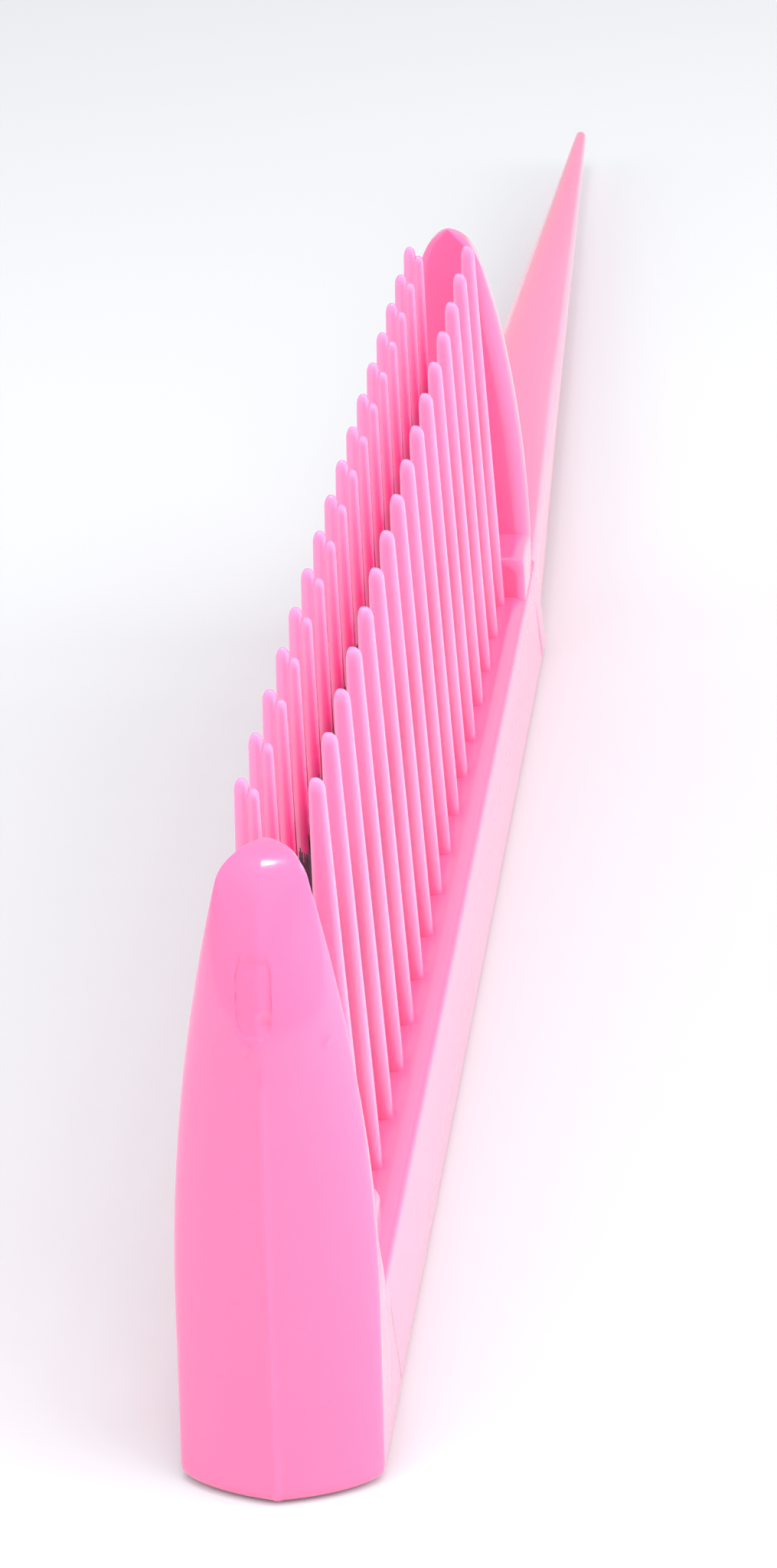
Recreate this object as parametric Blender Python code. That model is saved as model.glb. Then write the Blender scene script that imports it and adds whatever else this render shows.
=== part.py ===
"""Double-row tail comb with a middle row of bristle tufts, for lifting and back-combing hair.

The comb stands on its spine with the teeth up.  +X runs from the head end to the tip of the
tail, +Y to the row of double teeth and +Z up along the teeth.  The origin is the bottom centre
of the comb's bounding box.  The pink plastic is one moulding on the real comb; here the spine,
the guards, the tail and each tooth are separate solids with a narrow gap between them.
"""
import math

import bmesh
import bpy
from mathutils import Vector

MM = 0.001

# Driving dimensions
OVERALL_LENGTH = 224.6 * MM
TOOTH_PITCH = 5.7 * MM
STATION_COUNT = 16
GAP = 0.3 * MM

SPINE_HEIGHT = 7.4 * MM
SPINE_TOP_HALF_WIDTH = 4.95 * MM
SPINE_FOOT_HALF_WIDTH = 5.4 * MM
SPINE_EDGE = 0.7 * MM

TOOTH_TIP_HEIGHT = 33.8 * MM
INNER_FINGER_DROP = 0.65 * MM
TOOTH_ROOT_THICKNESS = 1.3 * MM
TOOTH_TIP_THICKNESS = 0.75 * MM
TOOTH_DOME = 1.0 * MM
TOOTH_SIDES = 8
DOME_ANGLES = (math.radians(40), math.radians(72))

# Each finger's lateral edges, measured from the comb's middle plane: (inner, outer).
SINGLE_ROOT = (1.0 * MM, 3.42 * MM)
SINGLE_TIP = (1.5 * MM, 2.33 * MM)
OUTER_FINGER_ROOT = (2.0 * MM, 3.42 * MM)
OUTER_FINGER_TIP = (1.68 * MM, 2.4 * MM)
INNER_FINGER_ROOT = (1.0 * MM, 2.3 * MM)
INNER_FINGER_TIP = (1.15 * MM, 1.85 * MM)

GUARD_HEIGHT = 33.05 * MM
GUARD_HALF_WIDTH = 5.4 * MM
GUARD_FLANK_START = 9.0 * MM
GUARD_FLANK_RADIUS = 88.0 * MM
GUARD_ARCH_START = 31.8 * MM
GUARD_CROWN_START = 28.5 * MM
GUARD_CROWN_POWER = 1.7
GUARD_INNER_NARROWING = 0.62 * MM
GUARD_INNER_CORNER = (1.5 * MM, 1.1 * MM)
GUARD_FOOT_INNER_CORNER = (0.5 * MM, 0.5 * MM)
GUARD_CORNER_BLEND = 4.0 * MM
GUARD_OUTER_CORNER = 0.9 * MM
# A corner or rounding takes at most this share of the width or depth it sits on.
CORNER_LIMIT = 0.4
# Where a rounded corner's middle point lies, as shares of the corner's (depth, width).
INNER_CORNER_MIDDLE = (0.25, 0.35)
OUTER_CORNER_MIDDLE = (0.2, 0.25)
FLANK_SPREAD_BEFORE_CORNER = 0.94
# The front, as (share of the depth from corner to ridge, share of the half width).
GUARD_FRONT = ((0.42, 0.66), (0.78, 0.33))
GUARD_TOP_SHRINK = 0.5
GUARD_FOOT_EDGE = 0.7 * MM
GUARD_FOOT_INSET = 0.42 * MM
GUARD_LEVELS = tuple(level * MM for level in (0.0, 0.7, 4.0, 7.4, 11.0, 15.0, 20.0, 25.0, 28.5,
                                              30.4, 31.8, 32.5, 32.9))
HEAD_SIDE_DEPTHS = (8.7 * MM, 2.2 * MM)
HEAD_NOSE_DEPTHS = (11.4 * MM, 5.1 * MM)
TAIL_GUARD_DEPTHS = (7.4 * MM, 3.0 * MM)
TAIL_GUARD_TAPER = 0.12
STEP_LENGTH = 4.7 * MM
STEP_HEIGHT = 2.9 * MM
STEP_HALF_WIDTH = 4.7 * MM
STEP_OVERLAP = 1.0 * MM
STEP_EDGE = 1.3 * MM
STEP_EDGE_SEGMENTS = 3
SPINE_EDGE_SEGMENTS = 3

TAIL_TIP_RADIUS = 0.5 * MM
TAIL_TIP_CENTRE_HEIGHT = 3.1 * MM
TAIL_SECTION_PLACES = (0.0, 0.04, 0.12, 0.3, 0.5, 0.7, 0.85, 0.95, 0.985, 1.0)
TAIL_SIDES = 12
# Power of the tail's section: small is nearly square, 1 is an ellipse.
TAIL_ROOT_ROUNDNESS = 0.55
TAIL_TIP_ROUNDNESS = 1.0
TAIL_FULLY_ROUND_AT = 0.4
TAIL_END_SHRINK = 0.5

# Half sizes of a tuft's oblong sections: (along the comb, across it).
TUFT_ROOT = (1.6 * MM, 0.65 * MM)
TUFT_TIP = (2.55 * MM, 0.8 * MM)
TUFT_TIP_HEIGHT = 24.8 * MM
TUFT_SIDES = 16
TUFT_SQUARENESS = 0.7
TUFT_SPREAD_AT = 0.5
TUFT_SPREAD_SHARE = 0.6
TUFT_CROWN_SHRINK = 0.75
TUFT_CROWN_HEIGHT = 0.6 * MM
BEAD = (2.0 * MM, 1.05 * MM)
BEAD_HEIGHT = 0.9 * MM
BEAD_BASE = 2.6 * MM

# Places worked out from the driving dimensions
HEAD_NOSE_X = -OVERALL_LENGTH / 2
TAIL_TIP_X = OVERALL_LENGTH / 2
HEAD_INNER_X = HEAD_NOSE_X + HEAD_NOSE_DEPTHS[0]
TAIL_INNER_X = HEAD_INNER_X + (STATION_COUNT + 1) * TOOTH_PITCH
TAIL_ROOT_X = TAIL_INNER_X + TAIL_GUARD_DEPTHS[0] + GAP

PINK = (0.98, 0.26, 0.55, 1.0)
BRISTLE_BROWN = (0.045, 0.02, 0.03, 1.0)
PINK_ROUGHNESS = 0.28
BRISTLE_ROUGHNESS = 0.6
SHARP_ANGLE = math.radians(35)


def clear_scene():
    for obj in list(bpy.data.objects):
        bpy.data.objects.remove(obj, do_unlink=True)


def new_collection(name):
    collection = bpy.data.collections.new(name)
    bpy.context.scene.collection.children.link(collection)
    return collection


def make_material(name, colour, roughness, metallic=0.0):
    material = bpy.data.materials.new(name)
    material.use_nodes = True
    shader = material.node_tree.nodes["Principled BSDF"]
    shader.inputs["Base Color"].default_value = colour
    shader.inputs["Roughness"].default_value = roughness
    shader.inputs["Metallic"].default_value = metallic
    return material


def new_object(name, bm, collection, material=None):
    bmesh.ops.recalc_face_normals(bm, faces=bm.faces)
    mesh = bpy.data.meshes.new(name)
    bm.to_mesh(mesh)
    bm.free()
    mesh.shade_smooth()
    mesh.set_sharp_from_angle(angle=SHARP_ANGLE)
    obj = bpy.data.objects.new(name, mesh)
    collection.objects.link(obj)
    if material is not None:
        mesh.materials.append(material)
    return obj


def hide_as_cutter(obj):
    obj.hide_render = True
    obj.display_type = 'WIRE'


def add_boolean(obj, other, operation):
    modifier = obj.modifiers.new(f"{operation.lower()}_{other.name}", 'BOOLEAN')
    modifier.operation = operation
    modifier.solver = 'EXACT'
    modifier.object = other


def bridge_rings(bm, rings):
    """Skin a stack of equal rings of points and close both ends."""
    loops = [[bm.verts.new(point) for point in ring] for ring in rings]
    count = len(rings[0])
    for lower, upper in zip(loops, loops[1:]):
        for i in range(count):
            j = (i + 1) % count
            bm.faces.new((lower[i], lower[j], upper[j], upper[i]))
    bm.faces.new(reversed(loops[0]))
    bm.faces.new(loops[-1])


def mix(a, b, t):
    return a + (b - a) * t


# Teeth

def finger_ring(x, z, edges, thickness, side):
    """One oval section of a finger; side is +1 for the double row and -1 for the single row."""
    centre = (edges[0] + edges[1]) / 2
    half_width = (edges[1] - edges[0]) / 2
    ring = []
    for i in range(TOOTH_SIDES):
        angle = math.tau * (i + 0.5) / TOOTH_SIDES
        ring.append(Vector((x + thickness / 2 * math.cos(angle),
                            side * (centre + half_width * math.sin(angle)), z)))
    return ring


def finger_mesh(x, side, root, tip, tip_height):
    """A tapered finger with a domed end, from just above the spine to tip_height."""
    base = SPINE_HEIGHT + GAP
    shoulder = tip_height - TOOTH_DOME
    rings = [finger_ring(x, base, root, TOOTH_ROOT_THICKNESS, side),
             finger_ring(x, shoulder, tip, TOOTH_TIP_THICKNESS, side)]
    middle = (tip[0] + tip[1]) / 2
    for angle in DOME_ANGLES:
        shrink = math.cos(angle)
        edges = (mix(middle, tip[0], shrink), mix(middle, tip[1], shrink))
        height = shoulder + TOOTH_DOME * math.sin(angle)
        rings.append(finger_ring(x, height, edges, TOOTH_TIP_THICKNESS * shrink, side))
    top = rings[-1]
    for point in top:
        point.z = tip_height
    bm = bmesh.new()
    bridge_rings(bm, rings)
    return bm


def station_x(number):
    return HEAD_INNER_X + number * TOOTH_PITCH


def make_single_tooth(number, collection, material):
    bm = finger_mesh(station_x(number), -1, SINGLE_ROOT, SINGLE_TIP, TOOTH_TIP_HEIGHT)
    return new_object(f"single_tooth_{number:02d}", bm, collection, material)


def make_double_tooth(number, collection, cutters, material):
    """A tall outer finger with a slightly shorter finger fused to its inner side."""
    x = station_x(number)
    inner_tip = TOOTH_TIP_HEIGHT - INNER_FINGER_DROP
    outer = finger_mesh(x, 1, OUTER_FINGER_ROOT, OUTER_FINGER_TIP, TOOTH_TIP_HEIGHT)
    inner = finger_mesh(x, 1, INNER_FINGER_ROOT, INNER_FINGER_TIP, inner_tip)
    tooth = new_object(f"double_tooth_{number:02d}", outer, collection, material)
    finger = new_object(f"inner_finger_{number:02d}", inner, cutters)
    hide_as_cutter(finger)
    add_boolean(tooth, finger, 'UNION')
    return tooth


# Guards

def arch(height, start, power):
    """Runs from 1 at the start height to 0 at the top of the guard along a rounded curve."""
    along = max(0.0, height - start) / (GUARD_HEIGHT - start)
    return max(0.0, 1.0 - along ** power) ** (1.0 / power)


def flank_half_width(height):
    """Straight foot, then one long arc."""
    rise = max(0.0, height - GUARD_FLANK_START)
    drop = GUARD_FLANK_RADIUS - math.sqrt(GUARD_FLANK_RADIUS ** 2 - rise ** 2)
    return GUARD_HALF_WIDTH - drop


def guard_ring(height, side_depths, nose_depths, taper):
    """Flat inner face, rounded inner corners, flanks and a blunt ridge along the nose.

    A taper of None lets the flanks spread to the full width at the front corners; a number
    narrows them by that much for each unit of depth instead.
    """
    up = max(0.0, height - GUARD_FOOT_EDGE) / (GUARD_HEIGHT - GUARD_FOOT_EDGE)
    inset = GUARD_FOOT_INSET if height == 0.0 else 0.0
    arched = arch(height, GUARD_ARCH_START, 2.0)
    crown = arch(height, GUARD_CROWN_START, GUARD_CROWN_POWER)
    side = mix(*side_depths, up) * crown - inset
    nose = mix(*nose_depths, up) * crown - inset
    narrowing = GUARD_INNER_NARROWING * min(1.0, height / GUARD_FLANK_START)
    full = flank_half_width(height) * arched - inset
    inner = (flank_half_width(height) - narrowing) * arched - inset
    blend = min(1.0, max(0.0, height - SPINE_HEIGHT) / GUARD_CORNER_BLEND)
    round_depth = min(mix(GUARD_FOOT_INNER_CORNER[0], GUARD_INNER_CORNER[0], blend),
                      side * CORNER_LIMIT)
    round_width = min(mix(GUARD_FOOT_INNER_CORNER[1], GUARD_INNER_CORNER[1], blend),
                      inner * CORNER_LIMIT)
    outer = full if taper is None else inner - taper * (side - round_depth)
    corner = min(GUARD_OUTER_CORNER, side * CORNER_LIMIT, outer * CORNER_LIMIT)
    half = [(0.0, inner - round_width),
            (round_depth * INNER_CORNER_MIDDLE[0], inner - round_width * INNER_CORNER_MIDDLE[1]),
            (round_depth, inner),
            (side - corner, mix(inner, outer, FLANK_SPREAD_BEFORE_CORNER)),
            (side - corner * OUTER_CORNER_MIDDLE[0], outer - corner * OUTER_CORNER_MIDDLE[1])]
    half += [(mix(side, nose, deep), outer * wide) for deep, wide in GUARD_FRONT]
    mirrored = [(depth, -y) for depth, y in reversed(half)]
    return [(depth, y, height) for depth, y in half + [(nose, 0.0)] + mirrored]


def make_guard(name, inner_x, outward, depths, taper, collection, cutters, material):
    """Stacks the guard's sections and adds the step at its foot."""
    side_depths, nose_depths = depths
    rings = [guard_ring(height, side_depths, nose_depths, taper) for height in GUARD_LEVELS]
    rings.append([(depth * GUARD_TOP_SHRINK, y * GUARD_TOP_SHRINK, GUARD_HEIGHT)
                  for depth, y, _ in rings[-1]])
    bm = bmesh.new()
    bridge_rings(bm, [[Vector((inner_x + outward * depth, y, z)) for depth, y, z in ring]
                      for ring in rings])
    guard = new_object(name, bm, collection, material)
    step = make_step(name, inner_x, outward, cutters)
    add_boolean(guard, step, 'UNION')
    return guard


def make_step(guard_name, inner_x, outward, cutters):
    """The low block at a guard's foot, on top of the spine, which reaches into the guard."""
    length = STEP_LENGTH + STEP_OVERLAP
    bm = bmesh.new()
    bmesh.ops.create_cube(bm, size=1.0)
    bottom = SPINE_HEIGHT + GAP
    top = SPINE_HEIGHT + STEP_HEIGHT
    for vert in bm.verts:
        vert.co.x = inner_x + outward * (STEP_OVERLAP - length / 2) + vert.co.x * length
        vert.co.y = vert.co.y * 2 * STEP_HALF_WIDTH
        vert.co.z = (bottom + top) / 2 + vert.co.z * (top - bottom)
    upper = [edge for edge in bm.edges if all(vert.co.z > bottom + GAP for vert in edge.verts)]
    bmesh.ops.bevel(bm, geom=upper, offset=STEP_EDGE, segments=STEP_EDGE_SEGMENTS, profile=0.5,
                    affect='EDGES')
    step = new_object(f"{guard_name}_step", bm, cutters)
    hide_as_cutter(step)
    return step


# Spine with its tuft holes

def make_spine(collection, cutters, material):
    start = HEAD_INNER_X + GAP
    end = TAIL_INNER_X - GAP
    bm = bmesh.new()
    bmesh.ops.create_cube(bm, size=1.0)
    for vert in bm.verts:
        at_top = vert.co.z > 0
        half_width = SPINE_TOP_HALF_WIDTH if at_top else SPINE_FOOT_HALF_WIDTH
        vert.co.x = (start + end) / 2 + vert.co.x * (end - start)
        vert.co.y = math.copysign(half_width, vert.co.y)
        vert.co.z = SPINE_HEIGHT if at_top else 0.0
    long_edges = [edge for edge in bm.edges
                  if abs(edge.verts[0].co.x - edge.verts[1].co.x) > TOOTH_PITCH]
    bmesh.ops.bevel(bm, geom=long_edges, offset=SPINE_EDGE, segments=SPINE_EDGE_SEGMENTS,
                    profile=0.5, affect='EDGES')
    spine = new_object("spine", bm, collection, material)
    holes = make_socket_cutter("tuft_holes", TUFT_ROOT, BEAD_BASE, SPINE_HEIGHT + SPINE_EDGE,
                               cutters)
    pockets = make_socket_cutter("bead_pockets", BEAD, BEAD_BASE - GAP,
                                 BEAD_BASE + BEAD_HEIGHT + GAP, cutters)
    add_boolean(spine, holes, 'DIFFERENCE')
    add_boolean(spine, pockets, 'DIFFERENCE')
    return spine


# Tufts

def tuft_numbers():
    return range(1, STATION_COUNT)


def tuft_x(number):
    return station_x(number + 0.5)


def oblong_ring(number, half_sizes, height):
    """A rounded oblong around one tuft's place, longer along the comb than across it."""
    ring = []
    for i in range(TUFT_SIDES):
        angle = math.tau * (i + 0.5) / TUFT_SIDES
        cos, sin = math.cos(angle), math.sin(angle)
        x = math.copysign(abs(cos) ** TUFT_SQUARENESS, cos) * half_sizes[0]
        y = math.copysign(abs(sin) ** TUFT_SQUARENESS, sin) * half_sizes[1]
        ring.append(Vector((tuft_x(number) + x, y, height)))
    return ring


def make_socket_cutter(name, half_sizes, bottom, top, cutters):
    """One upright plug at each tuft; a narrow set and a wide set make undercut sockets."""
    clear = (half_sizes[0] + GAP, half_sizes[1] + GAP)
    bm = bmesh.new()
    for number in tuft_numbers():
        bridge_rings(bm, [oblong_ring(number, clear, bottom), oblong_ring(number, clear, top)])
    cutter = new_object(name, bm, cutters)
    hide_as_cutter(cutter)
    return cutter


def make_tuft(number, collection, material):
    """A closed plug for one bundle of bristles: fused bead, straight root, spreading brush."""
    brush = TUFT_TIP_HEIGHT - SPINE_HEIGHT
    spread = tuple(mix(root, tip, TUFT_SPREAD_SHARE) for root, tip in zip(TUFT_ROOT, TUFT_TIP))
    crown = tuple(size * TUFT_CROWN_SHRINK for size in TUFT_TIP)
    levels = [(BEAD_BASE, BEAD),
              (BEAD_BASE + BEAD_HEIGHT, BEAD),
              (BEAD_BASE + BEAD_HEIGHT + GAP, TUFT_ROOT),
              (SPINE_HEIGHT + GAP, TUFT_ROOT),
              (SPINE_HEIGHT + brush * TUFT_SPREAD_AT, spread),
              (TUFT_TIP_HEIGHT - TUFT_CROWN_HEIGHT, TUFT_TIP),
              (TUFT_TIP_HEIGHT, crown)]
    bm = bmesh.new()
    bridge_rings(bm, [oblong_ring(number, half_sizes, height) for height, half_sizes in levels])
    return new_object(f"bristle_tuft_{number:02d}", bm, collection, material)


# Tail

def tail_section(x, half_width, half_height, centre, roundness):
    """A section across the tail, from nearly square to fully round."""
    ring = []
    for i in range(TAIL_SIDES):
        angle = math.tau * (i + 0.5) / TAIL_SIDES
        cos, sin = math.cos(angle), math.sin(angle)
        y = math.copysign(abs(cos) ** roundness, cos) * half_width
        z = math.copysign(abs(sin) ** roundness, sin) * half_height
        ring.append(Vector((x, y, centre + z)))
    return ring


def make_tail(collection, material):
    """A straight taper from the spine's section to a blunt point."""
    rings = []
    for along in TAIL_SECTION_PLACES:
        half_width = mix(SPINE_TOP_HALF_WIDTH, TAIL_TIP_RADIUS, along)
        half_height = mix(SPINE_HEIGHT / 2, TAIL_TIP_RADIUS, along)
        centre = mix(SPINE_HEIGHT / 2, TAIL_TIP_CENTRE_HEIGHT, along)
        if along == 1.0:
            half_width *= TAIL_END_SHRINK
            half_height *= TAIL_END_SHRINK
        roundness = mix(TAIL_ROOT_ROUNDNESS, TAIL_TIP_ROUNDNESS,
                        min(1.0, along / TAIL_FULLY_ROUND_AT))
        rings.append(tail_section(mix(TAIL_ROOT_X, TAIL_TIP_X, along), half_width, half_height,
                                  centre, roundness))
    bm = bmesh.new()
    bridge_rings(bm, rings)
    return new_object("tail_handle", bm, collection, material)


def main():
    clear_scene()
    comb = new_collection("tail_comb")
    cutters = new_collection("cutters")
    pink = make_material("pink_plastic", PINK, PINK_ROUGHNESS)
    bristle = make_material("bristle", BRISTLE_BROWN, BRISTLE_ROUGHNESS)
    make_spine(comb, cutters, pink)
    make_guard("head_guard", HEAD_INNER_X, -1, (HEAD_SIDE_DEPTHS, HEAD_NOSE_DEPTHS), None,
               comb, cutters, pink)
    make_guard("tail_guard", TAIL_INNER_X, 1, (TAIL_GUARD_DEPTHS, TAIL_GUARD_DEPTHS),
               TAIL_GUARD_TAPER, comb, cutters, pink)
    make_tail(comb, pink)
    for number in range(1, STATION_COUNT + 1):
        make_single_tooth(number, comb, pink)
        make_double_tooth(number, comb, cutters, pink)
    for number in tuft_numbers():
        make_tuft(number, comb, bristle)


main()
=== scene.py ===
import math
import random

import bmesh
import bpy
from mathutils import Matrix, Vector


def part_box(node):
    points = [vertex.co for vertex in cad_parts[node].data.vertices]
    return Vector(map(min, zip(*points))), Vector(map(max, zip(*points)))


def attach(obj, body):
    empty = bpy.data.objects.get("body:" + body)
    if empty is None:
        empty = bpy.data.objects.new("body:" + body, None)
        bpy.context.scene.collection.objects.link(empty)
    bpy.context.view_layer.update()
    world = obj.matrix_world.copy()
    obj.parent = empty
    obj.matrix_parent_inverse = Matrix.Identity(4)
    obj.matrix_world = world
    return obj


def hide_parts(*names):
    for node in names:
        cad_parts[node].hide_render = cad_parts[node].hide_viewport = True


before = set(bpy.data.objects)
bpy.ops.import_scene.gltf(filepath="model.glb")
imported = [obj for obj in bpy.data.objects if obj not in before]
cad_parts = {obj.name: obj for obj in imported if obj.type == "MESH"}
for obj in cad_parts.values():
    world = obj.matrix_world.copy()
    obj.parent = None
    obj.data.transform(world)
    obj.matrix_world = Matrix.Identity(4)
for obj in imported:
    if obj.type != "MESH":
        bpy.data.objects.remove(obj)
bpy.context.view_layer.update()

MM = 0.001
SEED = 17

# Places read from the frame, where the parts of the moulding stand GAP apart
SPINE_LOW, SPINE_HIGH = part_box("spine")
HEAD_LOW, HEAD_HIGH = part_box("head_guard")
TAIL_TIP_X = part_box("tail_handle")[1].x
BRISTLE_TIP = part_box("bristle_tuft_01")[1].z
STATIONS = sum(name.startswith("single_tooth_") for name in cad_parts)
TUFTS = sum(name.startswith("bristle_tuft_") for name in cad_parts)
GAP = 0.3 * MM
SPINE_TOP = SPINE_HIGH.z
HEAD_INNER_X = SPINE_LOW.x - GAP
TAIL_INNER_X = SPINE_HIGH.x + GAP
PITCH = (TAIL_INNER_X - HEAD_INNER_X) / (STATIONS + 1)
GUARD_HEIGHT = HEAD_HIGH.z
GUARD_HALF_WIDTH = HEAD_HIGH.y
NOSE_DEPTH = HEAD_INNER_X - HEAD_LOW.x

# The spine's section, and how far the spine runs into each guard. The foot's arc ends and
# the rim's arc starts at SIDE_LEAN degrees; past RIM_ARC_END the section would cross itself.
FOOT_ROUNDING = 0.7 * MM
SIDE_LEAN = 3
RIM_ARC_END = 60
RIM_HALF_WIDTH = 4.92 * MM
RIM_RADIUS = 0.45 * MM
RIM_DROP = 0.32 * MM
GROOVE_HALF_WIDTH = 4.64 * MM
GROOVE_DEPTH = 0.05 * MM
GROOVE_WALL = 0.06 * MM
BEVEL_HALF_WIDTH = 4.02 * MM
BEVEL_EASE = 0.1 * MM
BEVEL_EASE_DROP = 0.04 * MM
SPINE_OVERLAP = 3.0 * MM

# The guards' shape; depths run outward from a guard's inner face
FLANK_START = 9.0 * MM
FLANK_RADIUS = 88.0 * MM
FLANK_CAP_START = 31.6 * MM
FLANK_CAP_POWER = 2.5
CORNER_FOOT_DEPTH = 8.7 * MM
CORNER_TOP_DEPTH = 2.27 * MM
CORNER_BOW = 0.34 * MM
CORNER_CAP_START = 30.8 * MM
RIDGE_SLOPE = 0.19
RIDGE_CAP_START = 24.0 * MM
RIDGE_ROUNDING = 0.05
PROW_CAP_POWER = 2.2
NOSE_STRAIGHT = 0.45
NOSE_POWER = 3
NOSE_FULLNESS = 0.6
INNER_NARROWING = 0.62 * MM
INNER_CORNER_DEPTH = 1.5 * MM
INNER_CORNER_WIDTH = 1.1 * MM
INNER_CORNER_LEAST = 0.4 * MM
INNER_CORNER_RISE = 3.0 * MM
INNER_CORNER_FADE = 0.95
INNER_CORNER_FADE_START = 25.0 * MM
INNER_CORNER_FADE_LENGTH = 6.5 * MM
FAR_FOOT_DEPTH = 7.4 * MM
FAR_TOP_DEPTH = 3.0 * MM
FAR_TAPER = 0.12
FAR_CAP_START = 29.4 * MM
FAR_CAP_POWER = 2.4
FAR_SLOPE_CAP_START = 28.0 * MM
FAR_SLOPE_POWER = 0.8
FAR_SIDE_SHARE = 0.55
FAR_FACE_POWER = 0.75
GUARD_DOME_START = 28.0 * MM

# The low steps at the guards
STEP_LENGTH = 4.7 * MM
STEP_HEIGHT = 2.9 * MM
HEAD_STEP_HALF_WIDTH = 4.2 * MM
TAIL_STEP_HALF_WIDTH = 4.78 * MM
STEP_SHOULDER = 0.95 * MM
STEP_EDGE = 0.6 * MM
STEP_SUNK = 1.2 * MM
STEP_FLAT_STOPS = (-1.0 * MM, 1.0 * MM, 2.5 * MM)

# Moulding marks on the head guard; places are (y, height)
GATE_CENTRE = (0.3 * MM, 26.8 * MM)
GATE_HALF_SIZE = (1.0 * MM, 2.0 * MM)
GATE_DEPTH = 0.12 * MM
GATE_EDGE_SHARPNESS = 4.0
DIMPLE_CENTRE = (-0.25 * MM, 25.6 * MM)
DIMPLE_RADIUS = 0.4 * MM
DIMPLE_DEPTH = 0.16 * MM
SPECK_CENTRE = (0.75 * MM, 24.2 * MM)
SPECK_RADIUS = 0.22 * MM
SPECK_RISE = 0.18 * MM
SIDE_SPECK_CENTRE = (-3.3 * MM, 23.9 * MM)
SIDE_SPECK_RADIUS = 0.2 * MM
SIDE_SPECK_SHARE = 0.5
SEAM_HALF_WIDTH = 0.2 * MM
SEAM_RISE = 0.10 * MM
SEAM_TOP = 23.4 * MM
SEAM_FADE = 1.5 * MM

# The teeth: each finger's (inner, outer) lateral edges from the middle plane,
# and its end as (dome height, dome power, lean towards the middle)
SINGLE_ROOT = (1.0 * MM, 3.46 * MM)
SINGLE_TIP = (1.5 * MM, 2.40 * MM)
SINGLE_END = (0.9 * MM, 2.3, 0.25)
OUTER_ROOT = (2.0 * MM, 3.46 * MM)
OUTER_TIP = (1.64 * MM, 2.44 * MM)
OUTER_END = (0.8 * MM, 2.3, 0.1)
INNER_ROOT = (1.0 * MM, 2.3 * MM)
INNER_TIP = (1.10 * MM, 1.84 * MM)
INNER_END = (0.6 * MM, 2.3, 0.0)
TIP_HEIGHT = 33.75 * MM
INNER_DROP = 0.65 * MM
ROOT_THICKNESS = 1.3 * MM
TIP_THICKNESS = 0.75 * MM
TOOTH_SUNK = 0.4 * MM
TOOTH_SQUARENESS = 3.6
TOOTH_SIDES = 24

# The tail, which starts inside the far guard
TAIL_START = TAIL_INNER_X + 4.0 * MM
TAIL_ROOT_HALF_WIDTH = 4.9 * MM
TAIL_ROOT_SQUARENESS = 5.0
TAIL_ROUNDING_RATE = 2.2
TAIL_TIP_RADIUS = 0.5 * MM
TAIL_TIP_CENTRE = 3.1 * MM
TAIL_SIDES = 48

# The bristle strip: half sizes along and across the comb, then the single fibres
SOCKET = (1.75 * MM, 0.72 * MM)
SOCKET_DEPTH = 4.0 * MM
SOCKET_CHAMFER = 0.1 * MM
SOCKET_SQUARENESS = 3.0
SOCKET_SIDES = 32
BRISTLE_TOP = (2.45 * MM, 0.74 * MM)
BRISTLE_MARGIN = 0.12 * MM
BRISTLE_SUNK = 1.5 * MM
BRISTLE_OVER = 0.2 * MM
STRANDS = 120
STRAND_STEPS = 7
STRAND_SIDES = 5
STRAND_FLARE = 1.3

# How far single fibres stray, in millimetres, but for the turn in radians
TURN_SPREAD = 0.3
TIP_SPREAD = (0.3, 0.08)
BEND_SPREAD = (0.25, 0.08)
SHORTFALL_ROOT = 1.3
STRAND_RADII = (0.06, 0.085)

# The moulding's edges look sharp where its faces turn by more than this, in degrees
SHARP_ANGLE = 32

# Where the plastic's painted light and painted shade start and end: beside the steps and up the
# teeth for the painted light on the teeth; from the left, from the right and from above for the
# painted shade between the rows
PAINTED_ZONE_EDGE = 0.3 * MM
PAINTED_ZONE_RISE = (0.1 * MM, 6.0 * MM)
PAINTED_SHADE_FROM_LEFT = (2.05 * MM, 1.30 * MM)
PAINTED_SHADE_FROM_RIGHT = (-1.2 * MM, -0.8 * MM)
PAINTED_SHADE_FROM_ABOVE = (31.5 * MM, 25.0 * MM)
ROUGHNESS = (0.20, 0.26)

# Colours
PINK_CLOUDS = ((0.800, 0.122, 0.300, 1.0), (0.820, 0.132, 0.316, 1.0))
# Painted light: a paler pink painted on the teeth for light passing through them
PINK_PAINTED_LIGHT = (0.86, 0.215, 0.420, 1.0)
# Painted shade: a deeper pink painted low down between the rows
PINK_PAINTED_SHADE = (0.84, 0.050, 0.215, 1.0)
BRISTLE_DARK = (0.030, 0.012, 0.018, 1.0)
BRISTLE_PALE = (0.120, 0.050, 0.078, 1.0)
FLOOR_COLOUR = (0.562, 0.580, 0.606, 1.0)
WORLD_COLOUR = (1.0, 0.985, 0.985, 1.0)
LAMP_COLOUR = (1.0, 0.99, 0.98)
WORLD_STRENGTH = 0.68

# Lights: name, place, target, diameter, watts, and whether it shows in reflections
LIGHTS = (
    ("right_softbox", (-0.24, -0.50, 0.30), (-0.12, 0.0, 0.01), 0.6, 3.2, False),
    ("side_card", (0.0, -0.42, 0.11), (0.0, 0.0, 0.01), 0.35, 0.9, False),
    ("left_softbox", (-0.30, 0.56, 0.33), (-0.10, 0.0, 0.01), 0.6, 2.5, False),
    ("overhead", (-0.26, 0.0, 0.5), (-0.18, 0.0, 0.0), 0.5, 1.6, False),
    ("front_fill", (-0.62, -0.04, 0.32), (-0.08, 0.0, 0.02), 0.5, 0.9, False),
    ("top_spot", (-0.04, 0.06, 0.70), (-0.09, 0.0, 0.02), 0.07, 0.4, True),
    ("top_glow", (-0.02, -0.30, 0.60), (-0.09, 0.0, 0.02), 0.22, 0.4, True),
)

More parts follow.
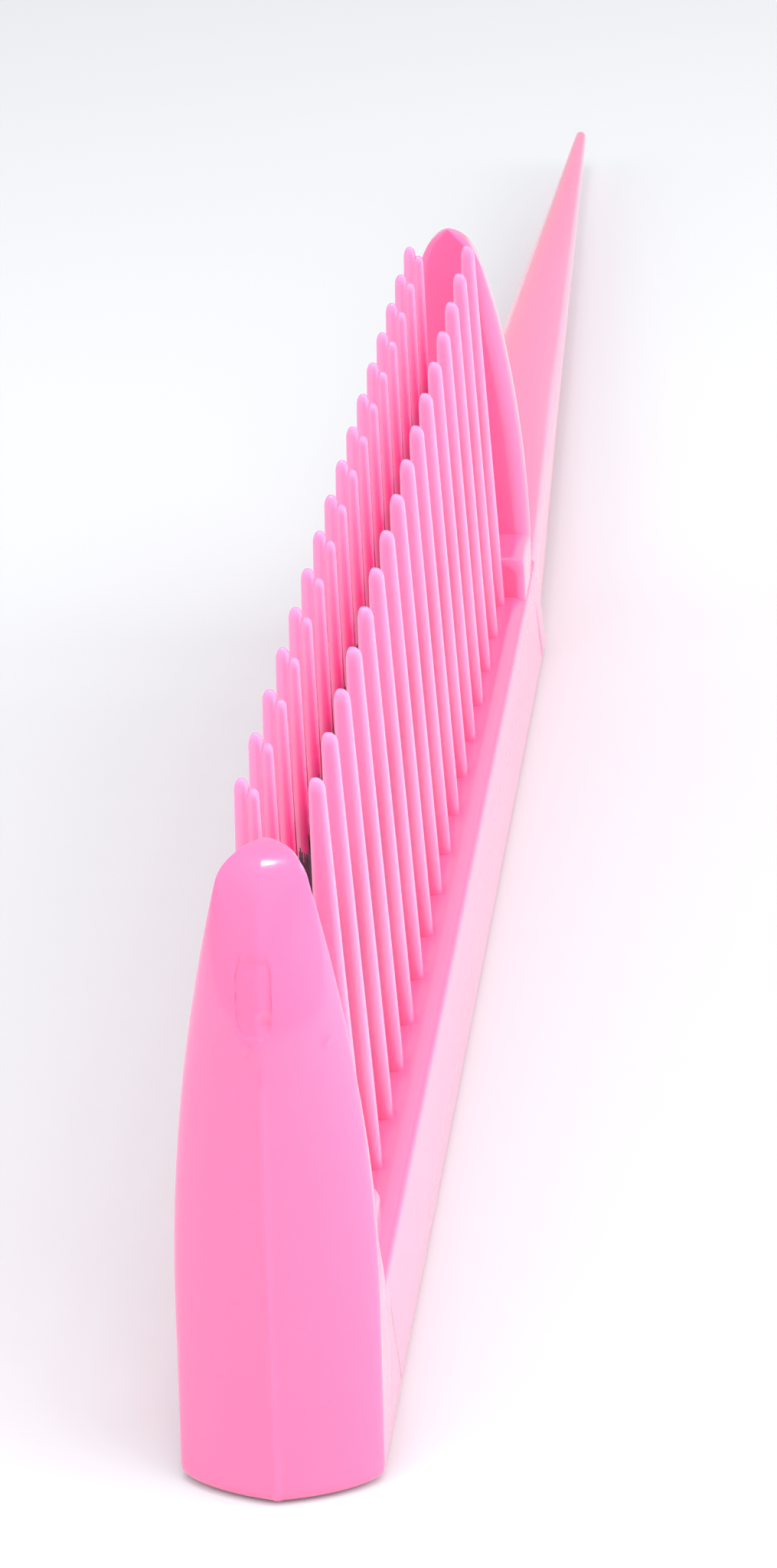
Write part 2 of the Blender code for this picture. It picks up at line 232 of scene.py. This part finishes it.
# The floor and the camera; angles in degrees, the camera's place in tooth pitches
# from the head guard's inner face, the middle plane and the spine's top
FLOOR_HALF_SIZE = 3.0
FLOOR_DROP = 0.1 * MM
CAMERA_DOWN = 24.92
CAMERA_HEADING = 7.49
CAMERA_ROLL = -3.21
CAMERA_PITCHES = (-38.655, -6.218, 23.144)
CAMERA_SENSOR = 36.0
CAMERA_LENS = 110.85


def mix(a, b, t):
    return a + (b - a) * t


def smooth(t):
    t = min(1.0, max(0.0, t))
    return t * t * (3 - 2 * t)


# Mesh helpers

def loft(bm, rings):
    """Skins a stack of equal closed rings and caps both ends."""
    loops = [[bm.verts.new(point) for point in ring] for ring in rings]
    count = len(rings[0])
    for lower, upper in zip(loops, loops[1:]):
        for i in range(count):
            j = (i + 1) % count
            bm.faces.new((lower[i], lower[j], upper[j], upper[i]))
    bm.faces.new(reversed(loops[0]))
    bm.faces.new(loops[-1])


def mesh_object(name, bm):
    """Puts the finished bmesh into a new object in the scene."""
    bmesh.ops.recalc_face_normals(bm, faces=bm.faces)
    mesh = bpy.data.meshes.new(name)
    bm.to_mesh(mesh)
    bm.free()
    obj = bpy.data.objects.new(name, mesh)
    bpy.context.scene.collection.objects.link(obj)
    return obj


def boolean(target, other, operation):
    """Applies an exact Boolean and removes the other object."""
    modifier = target.modifiers.new("boolean", 'BOOLEAN')
    modifier.operation = operation
    modifier.solver = 'EXACT'
    modifier.object = other
    evaluated = target.evaluated_get(bpy.context.evaluated_depsgraph_get())
    mesh = bpy.data.meshes.new_from_object(evaluated)
    target.modifiers.clear()
    target.data = mesh
    bpy.data.objects.remove(other, do_unlink=True)


def superellipse(half_a, half_b, power, count):
    """Points of a rounded rectangle or ellipse; power 2 is an ellipse, larger is squarer."""
    points = []
    for i in range(count):
        angle = math.tau * i / count
        c, s = math.cos(angle), math.sin(angle)
        points.append((math.copysign(abs(c) ** (2 / power), c) * half_a,
                       math.copysign(abs(s) ** (2 / power), s) * half_b))
    return points


def arc(centre, radius, start, end, count):
    """Points on an arc in the section plane, from start to end degrees."""
    points = []
    for i in range(count + 1):
        angle = math.radians(mix(start, end, i / count))
        points.append((centre[0] + radius * math.cos(angle),
                       centre[1] + radius * math.sin(angle)))
    return points


# The spine

def spine_half_section():
    """Right half of the spine's section from the underside up: foot, side, rim, bevel, floor."""
    foot = FOOT_ROUNDING
    rim_centre = (RIM_HALF_WIDTH - RIM_RADIUS, SPINE_TOP - RIM_DROP - RIM_RADIUS)
    points = [(0.0, 0.0)]
    points += arc((SPINE_HIGH.y - foot, foot), foot, -90, SIDE_LEAN, 8)
    points += arc(rim_centre, RIM_RADIUS, SIDE_LEAN, RIM_ARC_END, 8)
    points += [(GROOVE_HALF_WIDTH, SPINE_TOP - RIM_DROP - GROOVE_DEPTH),
               (GROOVE_HALF_WIDTH - GROOVE_WALL, SPINE_TOP - RIM_DROP),
               (BEVEL_HALF_WIDTH + BEVEL_EASE, SPINE_TOP - BEVEL_EASE_DROP),
               (BEVEL_HALF_WIDTH - BEVEL_EASE, SPINE_TOP),
               (0.0, SPINE_TOP)]
    return points


def make_spine():
    """The spine's section drawn along the comb, from inside one guard to inside the other."""
    half = spine_half_section()
    section = half + [(-y, z) for y, z in reversed(half[1:-1])]
    start = HEAD_INNER_X - SPINE_OVERLAP
    end = TAIL_INNER_X + SPINE_OVERLAP
    lengths = 60
    bm = bmesh.new()
    loft(bm, [[Vector((mix(start, end, i / lengths), y, z)) for y, z in section]
              for i in range(lengths + 1)])
    return mesh_object("comb_moulding", bm)


# The guards

def arch(height, start, power):
    """Runs from 1 at the start height to 0 at the guards' top along a rounded curve."""
    along = max(0.0, height - start) / (GUARD_HEIGHT - start)
    return max(0.0, 1.0 - along ** power) ** (1.0 / power)


def flank_half_width(height):
    """Straight at the foot, then one long arc up to the rounded top."""
    rise = max(0.0, height - FLANK_START)
    drop = FLANK_RADIUS - math.sqrt(FLANK_RADIUS ** 2 - rise ** 2)
    return (GUARD_HALF_WIDTH - drop) * arch(height, FLANK_CAP_START, FLANK_CAP_POWER)


def inner_half_width(height):
    """The inner face is a little narrower than the widest part of the flanks."""
    narrowing = INNER_NARROWING * smooth(height / FLANK_START)
    return (flank_half_width(height)
            - narrowing * arch(height, FLANK_CAP_START, FLANK_CAP_POWER))


def inner_corner(height, width):
    """Half of the inner face and its rounded corner, as (depth, y) points; also the depth."""
    blend = smooth((height - SPINE_TOP) / INNER_CORNER_RISE)
    faded = smooth((height - INNER_CORNER_FADE_START) / INNER_CORNER_FADE_LENGTH)
    blend *= 1.0 - INNER_CORNER_FADE * faded
    deep = min(mix(INNER_CORNER_LEAST, INNER_CORNER_DEPTH, blend), width * 0.6)
    wide = min(mix(INNER_CORNER_LEAST, INNER_CORNER_WIDTH, blend), width * 0.6)
    points = [(0.0, (width - wide) * i / 6) for i in range(6)]
    for i in range(13):
        angle = math.radians(90 * i / 12)
        points.append((deep - deep * math.cos(angle), width - wide + wide * math.sin(angle)))
    return points, deep


def head_half_section(height):
    """Right half of the head guard: inner face, flank widening outward, blunt prow."""
    width = inner_half_width(height)
    points, deep = inner_corner(height, width)
    up = height / GUARD_HEIGHT
    corner = mix(CORNER_FOOT_DEPTH, CORNER_TOP_DEPTH, up) - CORNER_BOW * 4 * up * (1 - up)
    corner *= arch(height, CORNER_CAP_START, PROW_CAP_POWER)
    ridge = NOSE_DEPTH - RIDGE_SLOPE * height
    ridge *= arch(height, RIDGE_CAP_START, PROW_CAP_POWER)
    ridge = max(ridge, corner * 1.05)
    full = flank_half_width(height)
    deep = min(deep, corner * 0.5)
    points = [(min(depth, deep), y) for depth, y in points]
    points += [(mix(deep, corner, i / 8), mix(width, full, smooth(i / 8) * 0.5 + i / 16))
               for i in range(1, 8)]
    count = 72
    for i in range(count):
        across = math.cos(math.pi / 2 * i / count)
        soft = math.sqrt(across ** 2 + RIDGE_ROUNDING ** 2) - RIDGE_ROUNDING
        full_nose = max(0.0, 1.0 - across ** NOSE_POWER) ** NOSE_FULLNESS
        reach = (1.0 - NOSE_STRAIGHT * soft) * full_nose
        points.append((corner + (ridge - corner) * reach, full * across))
    points.append((ridge, 0.0))
    return points


def far_half_section(height):
    """Right half of the far guard: inner face, narrowing flank, rounded outer face."""
    width = inner_half_width(height) * arch(height, FAR_CAP_START, FAR_CAP_POWER)
    points, deep = inner_corner(height, width)
    up = max(0.0, height - SPINE_TOP) / (GUARD_HEIGHT - SPINE_TOP)
    outer = mix(FAR_FOOT_DEPTH, FAR_TOP_DEPTH, up ** FAR_SLOPE_POWER)
    outer *= arch(height, FAR_SLOPE_CAP_START, 2.0)
    outer = max(outer, deep * 1.1)
    side = mix(deep, outer, FAR_SIDE_SHARE)
    narrow = width - FAR_TAPER * (side - deep)
    points += [(mix(deep, side, i / 6), mix(width, narrow, i / 6)) for i in range(1, 6)]
    count = 24
    for i in range(count):
        angle = math.pi / 2 * i / count
        points.append((side + (outer - side) * math.sin(angle) ** FAR_FACE_POWER,
                       narrow * math.cos(angle)))
    points.append((outer, 0.0))
    return points


def spot(y, height, centre, radius):
    """A smooth round bump, 1 at its centre."""
    return math.exp(-((y - centre[0]) ** 2 + (height - centre[1]) ** 2) / radius ** 2)


def prow_detail(depth, y, height):
    """Adds the mould seam, the trimmed gate with its dimple, and two small specks."""
    across = (y - GATE_CENTRE[0]) / GATE_HALF_SIZE[0]
    along = (height - GATE_CENTRE[1]) / GATE_HALF_SIZE[1]
    patch = smooth((1.0 - abs(across) ** 4 - abs(along) ** 4) * GATE_EDGE_SHARPNESS)
    dimple = spot(y, height, DIMPLE_CENTRE, DIMPLE_RADIUS)
    speck = spot(y, height, SPECK_CENTRE, SPECK_RADIUS)
    speck += SIDE_SPECK_SHARE * spot(y, height, SIDE_SPECK_CENTRE, SIDE_SPECK_RADIUS)
    seam = math.exp(-(y / SEAM_HALF_WIDTH) ** 2) * smooth((SEAM_TOP - height) / SEAM_FADE)
    return (depth + SEAM_RISE * seam - GATE_DEPTH * patch - DIMPLE_DEPTH * dimple
            + SPECK_RISE * speck)


def guard_levels():
    """Each section's height and its inset: rounded foot, straight part, domed top."""
    foot, straight, dome = 6, 180, 30
    levels = []
    for i in range(foot + 1):
        angle = math.radians(90 * i / foot)
        levels.append((FOOT_ROUNDING * (1 - math.cos(angle)),
                       FOOT_ROUNDING * (1 - math.sin(angle))))
    for i in range(1, straight + 1):
        levels.append((mix(FOOT_ROUNDING, GUARD_DOME_START, i / straight), 0.0))
    for i in range(1, dome + 1):
        angle = math.radians(88.5 * i / dome)
        levels.append((mix(GUARD_DOME_START, GUARD_HEIGHT, math.sin(angle)), 0.0))
    return levels


def make_guard(name, inner_x, outward, half_section, detailed):
    """Stacks a guard's sections from the rounded foot to the domed top."""
    rings = []
    for height, inset in guard_levels():
        half = half_section(height)
        outline = half + [(depth, -y) for depth, y in reversed(half[1:-1])]
        if detailed:
            outline = [(prow_detail(depth, y, height) if depth > CORNER_TOP_DEPTH else depth, y)
                       for depth, y in outline]
        deepest = max(depth for depth, _ in outline)
        widest = max(y for _, y in outline)
        rings.append([Vector((inner_x + outward * (depth * (1 - inset / deepest)),
                              y * (1 - inset / widest), height)) for depth, y in outline])
    bm = bmesh.new()
    loft(bm, rings)
    return mesh_object(name, bm)


def make_step(inner_x, outward, full_half_width):
    """The low block between a guard and its first tooth, with rounded upper edges."""
    bottom = SPINE_TOP - STEP_SUNK
    flat_top = SPINE_TOP + STEP_HEIGHT
    stops = [(depth, flat_top, 0.0) for depth in STEP_FLAT_STOPS]
    for i in range(11):
        angle = math.radians(90 * i / 10)
        drop = STEP_EDGE * (1 - math.cos(angle))
        stops.append((STEP_LENGTH - STEP_EDGE + STEP_EDGE * math.sin(angle),
                      flat_top - drop, drop))
    rings = []
    for depth, top, inset in stops:
        half_width = full_half_width - inset
        shoulder_y, shoulder_z = half_width - STEP_SHOULDER, top - STEP_SHOULDER
        section = [(-half_width, bottom), (half_width, bottom)]
        section += arc((shoulder_y, shoulder_z), STEP_SHOULDER, 0, 90, 12)
        section += arc((-shoulder_y, shoulder_z), STEP_SHOULDER, 90, 180, 12)
        rings.append([Vector((inner_x - outward * depth, y, z)) for y, z in section])
    bm = bmesh.new()
    loft(bm, rings)
    return mesh_object("step", bm)


# The tail

def make_tail():
    """A straight taper from the spine's section to a blunt round point."""
    rings = []
    count = 90
    for i in range(count + 1):
        along = i / count
        half_width = mix(TAIL_ROOT_HALF_WIDTH, TAIL_TIP_RADIUS, along)
        half_height = mix(SPINE_TOP / 2, TAIL_TIP_RADIUS, along)
        centre = mix(SPINE_TOP / 2, TAIL_TIP_CENTRE, along)
        power = mix(TAIL_ROOT_SQUARENESS, 2.0, smooth(along * TAIL_ROUNDING_RATE))
        x = mix(TAIL_START, TAIL_TIP_X - TAIL_TIP_RADIUS, along)
        rings.append([Vector((x, y, centre + z))
                      for y, z in superellipse(half_width, half_height, power, TAIL_SIDES)])
    last = rings[-1]
    middle = sum(last, Vector()) / len(last)
    for i in range(1, 7):
        angle = math.radians(86 * i / 6)
        rings.append([middle + (point - middle) * math.cos(angle)
                      + Vector((TAIL_TIP_RADIUS * math.sin(angle), 0, 0)) for point in last])
    bm = bmesh.new()
    loft(bm, rings)
    return mesh_object("tail", bm)


# The teeth

def finger_rings(x, side, root, tip, tip_height, end):
    """A tapered finger: foot in the spine, long taper, leaning domed end."""
    dome, power, lean = end
    shoulder = tip_height - dome
    length = shoulder - SPINE_TOP
    levels = [(SPINE_TOP - TOOTH_SUNK, 1.0)]
    levels += [(SPINE_TOP + length * i / 10, 1.0) for i in range(11)]
    for i in range(1, 13):
        up = math.sin(math.radians(90 * i / 12.4))
        levels.append((shoulder + dome * up, (1.0 - up ** power) ** (1.0 / power)))
    rings = []
    for height, shrink in levels:
        up = max(0.0, (height - SPINE_TOP) / length)
        inner = mix(root[0], tip[0], min(1.0, up))
        outer = mix(root[1], tip[1], min(1.0, up))
        thickness = mix(ROOT_THICKNESS, TIP_THICKNESS, min(1.0, up)) / 2
        half = (outer - inner) / 2
        centre = (inner + outer) / 2 - lean * half * (1.0 - shrink)
        outline = superellipse(thickness * shrink, half * shrink, TOOTH_SQUARENESS, TOOTH_SIDES)
        rings.append([Vector((x + dx, side * (centre + dy), height)) for dx, dy in outline])
    return rings


def station_x(node):
    """The middle of a node's box along the comb."""
    low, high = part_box(node)
    return (low.x + high.x) / 2


def make_teeth():
    """The single teeth and outer fingers in one mesh, the inner fingers in a second."""
    main = bmesh.new()
    inner = bmesh.new()
    for number in range(1, STATIONS + 1):
        x = station_x(f"single_tooth_{number:02d}")
        loft(main, finger_rings(x, -1, SINGLE_ROOT, SINGLE_TIP, TIP_HEIGHT, SINGLE_END))
        x = station_x(f"double_tooth_{number:02d}")
        loft(main, finger_rings(x, 1, OUTER_ROOT, OUTER_TIP, TIP_HEIGHT, OUTER_END))
        inner_height = TIP_HEIGHT - INNER_DROP
        loft(inner, finger_rings(x, 1, INNER_ROOT, INNER_TIP, inner_height, INNER_END))
    return mesh_object("teeth", main), mesh_object("inner_fingers", inner)


def make_sockets():
    """Cutters for the oblong tuft holes, with a small chamfer at the mouth."""
    bm = bmesh.new()
    levels = [(SPINE_TOP - SOCKET_DEPTH, 0.0), (SPINE_TOP - SOCKET_CHAMFER, 0.0),
              (SPINE_TOP + SOCKET_CHAMFER, 2 * SOCKET_CHAMFER)]
    for number in range(1, TUFTS + 1):
        x = station_x(f"bristle_tuft_{number:02d}")
        rings = []
        for height, grow in levels:
            outline = superellipse(SOCKET[0] + grow, SOCKET[1] + grow, SOCKET_SQUARENESS,
                                   SOCKET_SIDES)
            rings.append([Vector((x + a, b, height)) for a, b in outline])
        loft(bm, rings)
    return mesh_object("sockets", bm)


def make_moulding():
    """Joins the spine, guards, steps, tail and teeth into one skin, with the tufts' sockets."""
    comb = make_spine()
    boolean(comb, make_guard("head", HEAD_INNER_X, -1, head_half_section, True), 'UNION')
    boolean(comb, make_guard("far", TAIL_INNER_X, 1, far_half_section, False), 'UNION')
    boolean(comb, make_step(HEAD_INNER_X, -1, HEAD_STEP_HALF_WIDTH), 'UNION')
    boolean(comb, make_step(TAIL_INNER_X, 1, TAIL_STEP_HALF_WIDTH), 'UNION')
    boolean(comb, make_tail(), 'UNION')
    boolean(comb, make_sockets(), 'DIFFERENCE')
    teeth, inner = make_teeth()
    boolean(teeth, inner, 'UNION')
    boolean(comb, teeth, 'UNION')
    comb.data.shade_smooth()
    comb.data.set_sharp_from_angle(angle=math.radians(SHARP_ANGLE))
    return comb


# The bristles

def stray(rng, spread):
    """A random offset along and across the comb, up to the spread each way."""
    along = rng.uniform(-spread[0], spread[0])
    across = rng.uniform(-spread[1], spread[1])
    return Vector((along, across, 0.0)) * MM


def make_tuft(number, rng):
    """Fine curved bristles that rise from an oblong socket and spread along the strip."""
    low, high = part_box(f"bristle_tuft_{number:02d}")
    centre = (low + high) / 2
    base = Vector((centre.x, centre.y, SPINE_TOP - BRISTLE_SUNK))
    bm = bmesh.new()
    for strand in range(STRANDS):
        share = math.sqrt((strand + 0.5) / STRANDS)
        turn = strand * math.pi * (3 - math.sqrt(5)) + rng.uniform(-TURN_SPREAD, TURN_SPREAD)
        along, across = math.cos(turn) * share, math.sin(turn) * share
        root = Vector((along * (SOCKET[0] - BRISTLE_MARGIN),
                       across * (SOCKET[1] - BRISTLE_MARGIN), 0.0))
        spread = Vector((along * BRISTLE_TOP[0], across * BRISTLE_TOP[1], 0.0))
        spread += stray(rng, TIP_SPREAD)
        bend = stray(rng, BEND_SPREAD)
        height = high.z - SPINE_TOP + BRISTLE_OVER - rng.uniform(0.0, SHORTFALL_ROOT) ** 2 * MM
        radius = rng.uniform(*STRAND_RADII) * MM
        rings = []
        for i in range(STRAND_STEPS + 1):
            t = i / STRAND_STEPS
            offset = root.lerp(spread, t ** STRAND_FLARE) + bend * math.sin(math.pi * t)
            point = base + offset + Vector((0, 0, (height + BRISTLE_SUNK) * t))
            size = radius * (1.0 if i < STRAND_STEPS else 0.5)
            rings.append([point + Vector((math.cos(a), math.sin(a), 0.0)) * size
                          for a in (math.tau * k / STRAND_SIDES for k in range(STRAND_SIDES))])
        loft(bm, rings)
    tuft = mesh_object(f"tuft_bristles_{number:02d}", bm)
    tuft.data.shade_smooth()
    return tuft


# Materials

class Material:
    """A node material, with helpers that add a node and return what comes out of it."""

    def __init__(self, name):
        self.material = bpy.data.materials.new(name)
        self.material.use_nodes = True
        self.nodes = self.material.node_tree.nodes
        self.links = self.material.node_tree.links
        self.shader = self.nodes["Principled BSDF"]

    def place(self):
        return self.nodes.new("ShaderNodeTexCoord").outputs["Object"]

    def split(self, vector):
        node = self.nodes.new("ShaderNodeSeparateXYZ")
        self.links.new(vector, node.inputs["Vector"])
        return node.outputs

    def noise(self, vector, scale, detail):
        node = self.nodes.new("ShaderNodeTexNoise")
        node.inputs["Scale"].default_value = scale
        node.inputs["Detail"].default_value = detail
        self.links.new(vector, node.inputs["Vector"])
        return node.outputs["Fac"]

    def fade(self, value, start, end, first=0.0, last=1.0):
        """Runs from the first result where the value is start to the last where it is end."""
        node = self.nodes.new("ShaderNodeMapRange")
        node.inputs["From Min"].default_value = start
        node.inputs["From Max"].default_value = end
        node.inputs["To Min"].default_value = first
        node.inputs["To Max"].default_value = last
        self.links.new(value, node.inputs["Value"])
        return node.outputs["Result"]

    def product(self, first, second):
        node = self.nodes.new("ShaderNodeMath")
        node.operation = 'MULTIPLY'
        self.links.new(first, node.inputs[0])
        self.links.new(second, node.inputs[1])
        return node.outputs["Value"]

    def tint(self, factor, start, colour):
        """Mixes from the start, a colour or a socket, to the colour."""
        node = self.nodes.new("ShaderNodeMix")
        node.data_type = 'RGBA'
        node.inputs["B"].default_value = colour
        self.links.new(factor, node.inputs["Factor"])
        if isinstance(start, tuple):
            node.inputs["A"].default_value = start
        else:
            self.links.new(start, node.inputs["A"])
        return node.outputs["Result"]

    def fix(self, **values):
        """Sets the shader's own values; underscores stand for spaces."""
        for name, value in values.items():
            self.shader.inputs[name.replace("_", " ")].default_value = value


def pink_plastic():
    """Glossy moulded plastic: flow clouding, fine ripple, faint rub marks, painted light and
    shade.
    """
    mat = Material("pink_plastic_moulded")
    place = mat.place()
    ramp = mat.nodes.new("ShaderNodeValToRGB")
    for element, position, colour in zip(ramp.color_ramp.elements, (0.3, 0.7), PINK_CLOUDS):
        element.position = position
        element.color = colour
    mat.links.new(mat.noise(place, 25.0, 1.0), ramp.inputs["Fac"])

    # Painted light: the slender teeth are painted paler than the thick spine and guards,
    # for the light that passes through them.
    axes = mat.split(place)
    past_head_step = HEAD_INNER_X + STEP_LENGTH
    past_tail_step = TAIL_INNER_X - STEP_LENGTH
    painted_zone = mat.fade(axes["X"], past_head_step, past_head_step + PAINTED_ZONE_EDGE)
    painted_zone = mat.product(painted_zone, mat.fade(axes["X"], past_tail_step, past_tail_step - PAINTED_ZONE_EDGE))
    painted_zone = mat.product(painted_zone, mat.fade(axes["Z"], *(SPINE_TOP + rise for rise in PAINTED_ZONE_RISE)))
    pale = mat.tint(painted_zone, ramp.outputs["Color"], PINK_PAINTED_LIGHT)

    # Painted shade: low down between the rows, where the light has passed through several teeth,
    # the pink is painted deeper.
    deep = mat.product(painted_zone, mat.fade(axes["Y"], *PAINTED_SHADE_FROM_LEFT))
    deep = mat.product(deep, mat.fade(axes["Y"], *PAINTED_SHADE_FROM_RIGHT))
    deep = mat.product(deep, mat.fade(axes["Z"], *PAINTED_SHADE_FROM_ABOVE))
    mat.links.new(mat.tint(deep, pale, PINK_PAINTED_SHADE), mat.shader.inputs["Base Color"])

    # Rub marks, drawn out along the comb
    stretch = mat.nodes.new("ShaderNodeMapping")
    stretch.inputs["Scale"].default_value = (0.25, 1.0, 1.0)
    mat.links.new(place, stretch.inputs["Vector"])
    rub = mat.noise(stretch.outputs["Vector"], 260.0, 5.0)
    mat.links.new(mat.fade(rub, 0.3, 0.7, *ROUGHNESS), mat.shader.inputs["Roughness"])

    bump = mat.nodes.new("ShaderNodeBump")
    bump.inputs["Strength"].default_value = 0.02
    bump.inputs["Distance"].default_value = 0.1 * MM
    mat.links.new(mat.noise(place, 900.0, 1.0), bump.inputs["Height"])
    mat.links.new(bump.outputs["Normal"], mat.shader.inputs["Normal"])

    mat.fix(IOR=1.49, Coat_Weight=1.0, Coat_Roughness=0.13, Subsurface_Weight=0.4,
            Subsurface_Radius=(1.0, 0.5, 0.6), Subsurface_Scale=1.6 * MM)
    return mat.material


def bristle_fibre():
    """Dark brown fibres that pale a little towards their tips."""
    mat = Material("bristle_fibre")
    place = mat.place()
    rise = mat.fade(mat.split(place)["Z"], SPINE_TOP, BRISTLE_TIP)
    fleck = mat.noise(place, 2200.0, 2.0)
    colour = mat.tint(mat.product(rise, fleck), BRISTLE_DARK, BRISTLE_PALE)
    mat.links.new(colour, mat.shader.inputs["Base Color"])
    mat.fix(Roughness=0.62, Specular_IOR_Level=0.12)
    return mat.material


def floor_card():
    """Plain matt card."""
    mat = Material("floor_card")
    mat.fix(Base_Color=FLOOR_COLOUR, Roughness=0.75)
    return mat.material


# Stage, light and camera

def make_stage():
    """The floor the comb stands on."""
    bm = bmesh.new()
    bmesh.ops.create_grid(bm, x_segments=1, y_segments=1, size=FLOOR_HALF_SIZE)
    floor = mesh_object("floor", bm)
    floor.data.materials.append(floor_card())
    floor.location.z = -FLOOR_DROP


def area_light(name, place, target, size, power, glossy):
    """A round area light that faces its target."""
    data = bpy.data.lights.new(name, 'AREA')
    data.shape = 'DISK'
    data.size = size
    data.energy = power
    data.color = LAMP_COLOUR
    light = bpy.data.objects.new(name, data)
    bpy.context.scene.collection.objects.link(light)
    light.location = place
    aim = Vector(target) - Vector(place)
    light.rotation_euler = aim.to_track_quat('-Z', 'Y').to_euler()
    light.visible_glossy = glossy


def make_lights():
    """An even white surround and the lights listed above."""
    world = bpy.data.worlds.new("studio")
    world.use_nodes = True
    background = world.node_tree.nodes["Background"]
    background.inputs["Color"].default_value = WORLD_COLOUR
    background.inputs["Strength"].default_value = WORLD_STRENGTH
    bpy.context.scene.world = world
    for light in LIGHTS:
        area_light(*light)


def make_camera():
    """Looks along the comb from beyond the head end, from above and a little to the right."""
    down = math.radians(CAMERA_DOWN)
    heading = math.radians(CAMERA_HEADING)
    roll = math.radians(CAMERA_ROLL)
    forward = Vector((math.cos(down) * math.cos(heading), math.cos(down) * math.sin(heading),
                      -math.sin(down)))
    level = Vector((math.sin(heading), -math.cos(heading), 0.0))
    upright = level.cross(forward)
    right = level * math.cos(roll) + upright * math.sin(roll)
    up = upright * math.cos(roll) - level * math.sin(roll)
    turn = Matrix((right, up, -forward)).transposed()
    start = (HEAD_INNER_X, 0.0, SPINE_TOP)
    place = Vector([a + pitches * PITCH for a, pitches in zip(start, CAMERA_PITCHES)])
    data = bpy.data.cameras.new("camera")
    data.sensor_width = CAMERA_SENSOR
    data.lens = CAMERA_LENS
    data.clip_start = 0.01
    camera = bpy.data.objects.new("camera", data)
    bpy.context.scene.collection.objects.link(camera)
    camera.matrix_world = Matrix.Translation(place) @ turn.to_4x4()
    bpy.context.scene.camera = camera


def main():
    make_camera()
    make_lights()
    make_stage()
    bpy.context.scene.view_settings.view_transform = 'Standard'

    comb = make_moulding()
    comb.data.materials.clear()
    comb.data.materials.append(pink_plastic())
    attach(comb, "root")
    moulded = [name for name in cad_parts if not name.startswith("bristle_tuft_")]
    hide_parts(*sorted(moulded))

    rng = random.Random(SEED)
    fibre = bristle_fibre()
    for number in range(1, TUFTS + 1):
        tuft = make_tuft(number, rng)
        tuft.data.materials.append(fibre)
        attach(tuft, "root")
        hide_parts(f"bristle_tuft_{number:02d}")


main()
